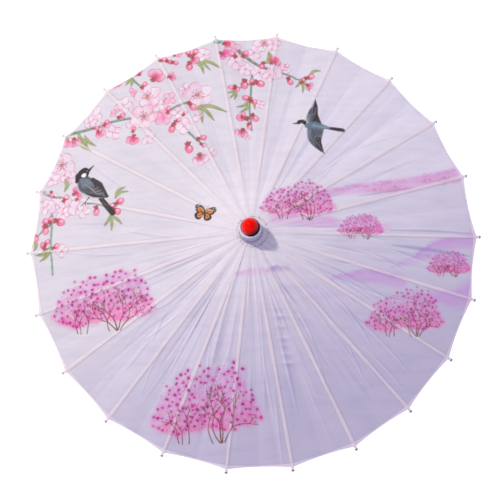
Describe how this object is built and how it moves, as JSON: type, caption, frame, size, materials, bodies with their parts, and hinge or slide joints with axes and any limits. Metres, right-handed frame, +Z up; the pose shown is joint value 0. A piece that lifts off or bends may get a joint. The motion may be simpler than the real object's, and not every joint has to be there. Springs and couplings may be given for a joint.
{
  "type": "oil paper umbrella",
  "caption": "Round folding umbrella with a printed sheet over bamboo ribs, hinged stretchers, a sliding runner with a catch, a turned handle and a red domed finial.",
  "frame": {"origin": "centre of the lower end of the handle", "axes": "+Z up along the pole towards the finial, +X along rib_01"},
  "size_m": [0.8416, 0.8332, 0.605],
  "materials": {
    "printed_cloth": "thin printed silk-like sheet",
    "white_cloth": "cloth bound over a wooden collar",
    "red_lacquer": "gloss",
    "bamboo": "split bamboo, satin",
    "pole_wood": "satin",
    "hub_wood": "turned, satin",
    "handle_wood": "varnished",
    "brass": "satin",
    "steel_wire": "drawn",
    "catch_steel": "spring strip"
  },
  "bodies": {
    "pole_assembly": {"pole": "pole_wood", "handle": "handle_wood", "handle_cap": "handle_wood", "handle_ferrule": "brass", "upper_hub": "hub_wood", "hub_wire": "steel_wire", "collar": "white_cloth", "finial": "red_lacquer", "canopy": "printed_cloth", "catch_pin": "steel_wire"},
    "rib_01": {"rib_01": "bamboo"},
    "rib_02": {"rib_02": "bamboo"},
    "rib_03": {"rib_03": "bamboo"},
    "rib_04": {"rib_04": "bamboo"},
    "rib_05": {"rib_05": "bamboo"},
    "rib_06": {"rib_06": "bamboo"},
    "rib_07": {"rib_07": "bamboo"},
    "rib_08": {"rib_08": "bamboo"},
    "rib_09": {"rib_09": "bamboo"},
    "rib_10": {"rib_10": "bamboo"},
    "rib_11": {"rib_11": "bamboo"},
    "rib_12": {"rib_12": "bamboo"},
    "rib_13": {"rib_13": "bamboo"},
    "rib_14": {"rib_14": "bamboo"},
    "rib_15": {"rib_15": "bamboo"},
    "rib_16": {"rib_16": "bamboo"},
    "rib_17": {"rib_17": "bamboo"},
    "rib_18": {"rib_18": "bamboo"},
    "rib_19": {"rib_19": "bamboo"},
    "rib_20": {"rib_20": "bamboo"},
    "rib_21": {"rib_21": "bamboo"},
    "rib_22": {"rib_22": "bamboo"},
    "stretcher_01": {"stretcher_01": "bamboo"},
    "stretcher_02": {"stretcher_02": "bamboo"},
    "stretcher_03": {"stretcher_03": "bamboo"},
    "stretcher_04": {"stretcher_04": "bamboo"},
    "stretcher_05": {"stretcher_05": "bamboo"},
    "stretcher_06": {"stretcher_06": "bamboo"},
    "stretcher_07": {"stretcher_07": "bamboo"},
    "stretcher_08": {"stretcher_08": "bamboo"},
    "stretcher_09": {"stretcher_09": "bamboo"},
    "stretcher_10": {"stretcher_10": "bamboo"},
    "stretcher_11": {"stretcher_11": "bamboo"},
    "stretcher_12": {"stretcher_12": "bamboo"},
    "stretcher_13": {"stretcher_13": "bamboo"},
    "stretcher_14": {"stretcher_14": "bamboo"},
    "stretcher_15": {"stretcher_15": "bamboo"},
    "stretcher_16": {"stretcher_16": "bamboo"},
    "stretcher_17": {"stretcher_17": "bamboo"},
    "stretcher_18": {"stretcher_18": "bamboo"},
    "stretcher_19": {"stretcher_19": "bamboo"},
    "stretcher_20": {"stretcher_20": "bamboo"},
    "stretcher_21": {"stretcher_21": "bamboo"},
    "stretcher_22": {"stretcher_22": "bamboo"},
    "runner": {"runner": "hub_wood", "runner_wire": "steel_wire"},
    "catch": {"catch_spring": "catch_steel"}
  },
  "joints": [
    {"name": "fold", "type": "hinge", "parent": "pole_assembly", "child": "rib_01", "pos_m": [0.016, 0, 0.54], "axis": [0, 1, 0], "range_deg": [0, 72.5], "deforming": ["canopy", "catch_spring"]},
    {"name": "rib_02_hinge", "type": "hinge", "parent": "pole_assembly", "child": "rib_02", "pos_m": [0.01535, 0.00451, 0.54], "axis": [-0.2817, 0.9595, 0], "range_deg": [0, 72.5]},
    {"name": "rib_03_hinge", "type": "hinge", "parent": "pole_assembly", "child": "rib_03", "pos_m": [0.01346, 0.00865, 0.54], "axis": [-0.5406, 0.8413, 0], "range_deg": [0, 72.5]},
    {"name": "rib_04_hinge", "type": "hinge", "parent": "pole_assembly", "child": "rib_04", "pos_m": [0.01048, 0.01209, 0.54], "axis": [-0.7557, 0.6549, 0], "range_deg": [0, 72.5]},
    {"name": "rib_05_hinge", "type": "hinge", "parent": "pole_assembly", "child": "rib_05", "pos_m": [0.00665, 0.01455, 0.54], "axis": [-0.9096, 0.4154, 0], "range_deg": [0, 72.5]},
    {"name": "rib_06_hinge", "type": "hinge", "parent": "pole_assembly", "child": "rib_06", "pos_m": [0.00228, 0.01584, 0.54], "axis": [-0.9898, 0.1423, 0], "range_deg": [0, 72.5]},
    {"name": "rib_07_hinge", "type": "hinge", "parent": "pole_assembly", "child": "rib_07", "pos_m": [-0.00228, 0.01584, 0.54], "axis": [-0.9898, -0.1423, 0], "range_deg": [0, 72.5]},
    {"name": "rib_08_hinge", "type": "hinge", "parent": "pole_assembly", "child": "rib_08", "pos_m": [-0.00665, 0.01455, 0.54], "axis": [-0.9096, -0.4154, 0], "range_deg": [0, 72.5]},
    {"name": "rib_09_hinge", "type": "hinge", "parent": "pole_assembly", "child": "rib_09", "pos_m": [-0.01048, 0.01209, 0.54], "axis": [-0.7557, -0.6549, 0], "range_deg": [0, 72.5]},
    {"name": "rib_10_hinge", "type": "hinge", "parent": "pole_assembly", "child": "rib_10", "pos_m": [-0.01346, 0.00865, 0.54], "axis": [-0.5406, -0.8413, 0], "range_deg": [0, 72.5]},
    {"name": "rib_11_hinge", "type": "hinge", "parent": "pole_assembly", "child": "rib_11", "pos_m": [-0.01535, 0.00451, 0.54], "axis": [-0.2817, -0.9595, 0], "range_deg": [0, 72.5]},
    {"name": "rib_12_hinge", "type": "hinge", "parent": "pole_assembly", "child": "rib_12", "pos_m": [-0.016, 0, 0.54], "axis": [0, -1, 0], "range_deg": [0, 72.5]},
    {"name": "rib_13_hinge", "type": "hinge", "parent": "pole_assembly", "child": "rib_13", "pos_m": [-0.01535, -0.00451, 0.54], "axis": [0.2817, -0.9595, 0], "range_deg": [0, 72.5]},
    {"name": "rib_14_hinge", "type": "hinge", "parent": "pole_assembly", "child": "rib_14", "pos_m": [-0.01346, -0.00865, 0.54], "axis": [0.5406, -0.8413, 0], "range_deg": [0, 72.5]},
    {"name": "rib_15_hinge", "type": "hinge", "parent": "pole_assembly", "child": "rib_15", "pos_m": [-0.01048, -0.01209, 0.54], "axis": [0.7557, -0.6549, 0], "range_deg": [0, 72.5]},
    {"name": "rib_16_hinge", "type": "hinge", "parent": "pole_assembly", "child": "rib_16", "pos_m": [-0.00665, -0.01455, 0.54], "axis": [0.9096, -0.4154, 0], "range_deg": [0, 72.5]},
    {"name": "rib_17_hinge", "type": "hinge", "parent": "pole_assembly", "child": "rib_17", "pos_m": [-0.00228, -0.01584, 0.54], "axis": [0.9898, -0.1423, 0], "range_deg": [0, 72.5]},
    {"name": "rib_18_hinge", "type": "hinge", "parent": "pole_assembly", "child": "rib_18", "pos_m": [0.00228, -0.01584, 0.54], "axis": [0.9898, 0.1423, 0], "range_deg": [0, 72.5]},
    {"name": "rib_19_hinge", "type": "hinge", "parent": "pole_assembly", "child": "rib_19", "pos_m": [0.00665, -0.01455, 0.54], "axis": [0.9096, 0.4154, 0], "range_deg": [0, 72.5]},
    {"name": "rib_20_hinge", "type": "hinge", "parent": "pole_assembly", "child": "rib_20", "pos_m": [0.01048, -0.01209, 0.54], "axis": [0.7557, 0.6549, 0], "range_deg": [0, 72.5]},
    {"name": "rib_21_hinge", "type": "hinge", "parent": "pole_assembly", "child": "rib_21", "pos_m": [0.01346, -0.00865, 0.54], "axis": [0.5406, 0.8413, 0], "range_deg": [0, 72.5]},
    {"name": "rib_22_hinge", "type": "hinge", "parent": "pole_assembly", "child": "rib_22", "pos_m": [0.01535, -0.00451, 0.54], "axis": [0.2817, 0.9595, 0], "range_deg": [0, 72.5]},
    {"name": "stretcher_01_hinge", "type": "hinge", "parent": "rib_01", "child": "stretcher_01", "pos_m": [0.1761, 0, 0.50008], "axis": [0, 1, 0], "range_deg": [-145, 0]},
    {"name": "stretcher_02_hinge", "type": "hinge", "parent": "rib_02", "child": "stretcher_02", "pos_m": [0.16897, 0.04961, 0.50008], "axis": [-0.2817, 0.9595, 0], "range_deg": [-145, 0]},
    {"name": "stretcher_03_hinge", "type": "hinge", "parent": "rib_03", "child": "stretcher_03", "pos_m": [0.14814, 0.09521, 0.50008], "axis": [-0.5406, 0.8413, 0], "range_deg": [-145, 0]},
    {"name": "stretcher_04_hinge", "type": "hinge", "parent": "rib_04", "child": "stretcher_04", "pos_m": [0.11532, 0.13309, 0.50008], "axis": [-0.7557, 0.6549, 0], "range_deg": [-145, 0]},
    {"name": "stretcher_05_hinge", "type": "hinge", "parent": "rib_05", "child": "stretcher_05", "pos_m": [0.07315, 0.16018, 0.50008], "axis": [-0.9096, 0.4154, 0], "range_deg": [-145, 0]},
    {"name": "stretcher_06_hinge", "type": "hinge", "parent": "rib_06", "child": "stretcher_06", "pos_m": [0.02506, 0.17431, 0.50008], "axis": [-0.9898, 0.1423, 0], "range_deg": [-145, 0]},
    {"name": "stretcher_07_hinge", "type": "hinge", "parent": "rib_07", "child": "stretcher_07", "pos_m": [-0.02506, 0.17431, 0.50008], "axis": [-0.9898, -0.1423, 0], "range_deg": [-145, 0]},
    {"name": "stretcher_08_hinge", "type": "hinge", "parent": "rib_08", "child": "stretcher_08", "pos_m": [-0.07315, 0.16018, 0.50008], "axis": [-0.9096, -0.4154, 0], "range_deg": [-145, 0]},
    {"name": "stretcher_09_hinge", "type": "hinge", "parent": "rib_09", "child": "stretcher_09", "pos_m": [-0.11532, 0.13309, 0.50008], "axis": [-0.7557, -0.6549, 0], "range_deg": [-145, 0]},
    {"name": "stretcher_10_hinge", "type": "hinge", "parent": "rib_10", "child": "stretcher_10", "pos_m": [-0.14814, 0.09521, 0.50008], "axis": [-0.5406, -0.8413, 0], "range_deg": [-145, 0]},
    {"name": "stretcher_11_hinge", "type": "hinge", "parent": "rib_11", "child": "stretcher_11", "pos_m": [-0.16897, 0.04961, 0.50008], "axis": [-0.2817, -0.9595, 0], "range_deg": [-145, 0]},
    {"name": "stretcher_12_hinge", "type": "hinge", "parent": "rib_12", "child": "stretcher_12", "pos_m": [-0.1761, 0, 0.50008], "axis": [0, -1, 0], "range_deg": [-145, 0]},
    {"name": "stretcher_13_hinge", "type": "hinge", "parent": "rib_13", "child": "stretcher_13", "pos_m": [-0.16897, -0.04961, 0.50008], "axis": [0.2817, -0.9595, 0], "range_deg": [-145, 0]},
    {"name": "stretcher_14_hinge", "type": "hinge", "parent": "rib_14", "child": "stretcher_14", "pos_m": [-0.14814, -0.09521, 0.50008], "axis": [0.5406, -0.8413, 0], "range_deg": [-145, 0]},
    {"name": "stretcher_15_hinge", "type": "hinge", "parent": "rib_15", "child": "stretcher_15", "pos_m": [-0.11532, -0.13309, 0.50008], "axis": [0.7557, -0.6549, 0], "range_deg": [-145, 0]},
    {"name": "stretcher_16_hinge", "type": "hinge", "parent": "rib_16", "child": "stretcher_16", "pos_m": [-0.07315, -0.16018, 0.50008], "axis": [0.9096, -0.4154, 0], "range_deg": [-145, 0]},
    {"name": "stretcher_17_hinge", "type": "hinge", "parent": "rib_17", "child": "stretcher_17", "pos_m": [-0.02506, -0.17431, 0.50008], "axis": [0.9898, -0.1423, 0], "range_deg": [-145, 0]},
    {"name": "stretcher_18_hinge", "type": "hinge", "parent": "rib_18", "child": "stretcher_18", "pos_m": [0.02506, -0.17431, 0.50008], "axis": [0.9898, 0.1423, 0], "range_deg": [-145, 0]},
    {"name": "stretcher_19_hinge", "type": "hinge", "parent": "rib_19", "child": "stretcher_19", "pos_m": [0.07315, -0.16018, 0.50008], "axis": [0.9096, 0.4154, 0], "range_deg": [-145, 0]},
    {"name": "stretcher_20_hinge", "type": "hinge", "parent": "rib_20", "child": "stretcher_20", "pos_m": [0.11532, -0.13309, 0.50008], "axis": [0.7557, 0.6549, 0], "range_deg": [-145, 0]},
    {"name": "stretcher_21_hinge", "type": "hinge", "parent": "rib_21", "child": "stretcher_21", "pos_m": [0.14814, -0.09521, 0.50008], "axis": [0.5406, 0.8413, 0], "range_deg": [-145, 0]},
    {"name": "stretcher_22_hinge", "type": "hinge", "parent": "rib_22", "child": "stretcher_22", "pos_m": [0.16897, -0.04961, 0.50008], "axis": [0.2817, 0.9595, 0], "range_deg": [-145, 0]},
    {"name": "runner_hinge", "type": "hinge", "parent": "stretcher_01", "child": "runner", "pos_m": [0.016, 0, 0.46017], "axis": [0, 1, 0], "range_deg": [0, 72.5]},
    {"name": "catch_press", "type": "hinge", "parent": "pole_assembly", "child": "catch", "pos_m": [0, 0, 0.37507], "axis": [0, 1, 0], "range_deg": [-7, 0], "stiffness_Nm_per_rad": 0.4, "springref_deg": 1.72}
  ],
  "couplings": [
    {"joint": "rib_02_hinge", "follows": "fold", "ratio": 1},
    {"joint": "rib_03_hinge", "follows": "fold", "ratio": 1},
    {"joint": "rib_04_hinge", "follows": "fold", "ratio": 1},
    {"joint": "rib_05_hinge", "follows": "fold", "ratio": 1},
    {"joint": "rib_06_hinge", "follows": "fold", "ratio": 1},
    {"joint": "rib_07_hinge", "follows": "fold", "ratio": 1},
    {"joint": "rib_08_hinge", "follows": "fold", "ratio": 1},
    {"joint": "rib_09_hinge", "follows": "fold", "ratio": 1},
    {"joint": "rib_10_hinge", "follows": "fold", "ratio": 1},
    {"joint": "rib_11_hinge", "follows": "fold", "ratio": 1},
    {"joint": "rib_12_hinge", "follows": "fold", "ratio": 1},
    {"joint": "rib_13_hinge", "follows": "fold", "ratio": 1},
    {"joint": "rib_14_hinge", "follows": "fold", "ratio": 1},
    {"joint": "rib_15_hinge", "follows": "fold", "ratio": 1},
    {"joint": "rib_16_hinge", "follows": "fold", "ratio": 1},
    {"joint": "rib_17_hinge", "follows": "fold", "ratio": 1},
    {"joint": "rib_18_hinge", "follows": "fold", "ratio": 1},
    {"joint": "rib_19_hinge", "follows": "fold", "ratio": 1},
    {"joint": "rib_20_hinge", "follows": "fold", "ratio": 1},
    {"joint": "rib_21_hinge", "follows": "fold", "ratio": 1},
    {"joint": "rib_22_hinge", "follows": "fold", "ratio": 1},
    {"joint": "stretcher_01_hinge", "follows": "fold", "ratio": -2},
    {"joint": "stretcher_02_hinge", "follows": "fold", "ratio": -2},
    {"joint": "stretcher_03_hinge", "follows": "fold", "ratio": -2},
    {"joint": "stretcher_04_hinge", "follows": "fold", "ratio": -2},
    {"joint": "stretcher_05_hinge", "follows": "fold", "ratio": -2},
    {"joint": "stretcher_06_hinge", "follows": "fold", "ratio": -2},
    {"joint": "stretcher_07_hinge", "follows": "fold", "ratio": -2},
    {"joint": "stretcher_08_hinge", "follows": "fold", "ratio": -2},
    {"joint": "stretcher_09_hinge", "follows": "fold", "ratio": -2},
    {"joint": "stretcher_10_hinge", "follows": "fold", "ratio": -2},
    {"joint": "stretcher_11_hinge", "follows": "fold", "ratio": -2},
    {"joint": "stretcher_12_hinge", "follows": "fold", "ratio": -2},
    {"joint": "stretcher_13_hinge", "follows": "fold", "ratio": -2},
    {"joint": "stretcher_14_hinge", "follows": "fold", "ratio": -2},
    {"joint": "stretcher_15_hinge", "follows": "fold", "ratio": -2},
    {"joint": "stretcher_16_hinge", "follows": "fold", "ratio": -2},
    {"joint": "stretcher_17_hinge", "follows": "fold", "ratio": -2},
    {"joint": "stretcher_18_hinge", "follows": "fold", "ratio": -2},
    {"joint": "stretcher_19_hinge", "follows": "fold", "ratio": -2},
    {"joint": "stretcher_20_hinge", "follows": "fold", "ratio": -2},
    {"joint": "stretcher_21_hinge", "follows": "fold", "ratio": -2},
    {"joint": "stretcher_22_hinge", "follows": "fold", "ratio": -2},
    {"joint": "runner_hinge", "follows": "fold", "ratio": 1}
  ]
}
